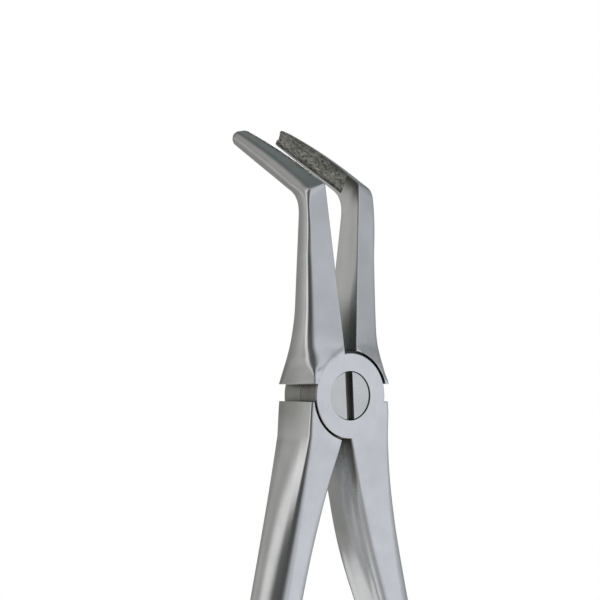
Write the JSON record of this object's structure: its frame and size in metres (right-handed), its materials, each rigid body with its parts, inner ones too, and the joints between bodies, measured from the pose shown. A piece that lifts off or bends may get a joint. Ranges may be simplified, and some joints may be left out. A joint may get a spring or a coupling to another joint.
{
  "type": "dental extraction forceps",
  "caption": "Hand forceps with a half-lap screw joint, bowed handles and bent, tapering beaks with grainy inner faces, for gripping a lower tooth root.",
  "frame": {"origin": "the pivot's centre, on the plane where the two halves lap", "axes": "+Z along the tool towards the beaks, +Y the way the beaks bend, so that the screw's slotted head faces -Y"},
  "size_m": [0.0488, 0.0286, 0.1636],
  "materials": {
    "front_steel": "satin stainless steel, fine ground",
    "back_steel": "satin stainless steel, fine ground",
    "screw_steel": "turned stainless steel",
    "grit": "rough, dark grit bonded to the beak"
  },
  "bodies": {
    "front": {"front_half": "front_steel", "left_grip_facing": "grit"},
    "back": {"back_half": "back_steel", "right_grip_facing": "grit", "pivot_screw": "screw_steel"}
  },
  "joints": [
    {"name": "jaw_pivot", "type": "hinge", "parent": "front", "child": "back", "pos_m": [0, 0, 0], "axis": [0, 1, 0], "range_deg": [-9.2, 18]}
  ]
}
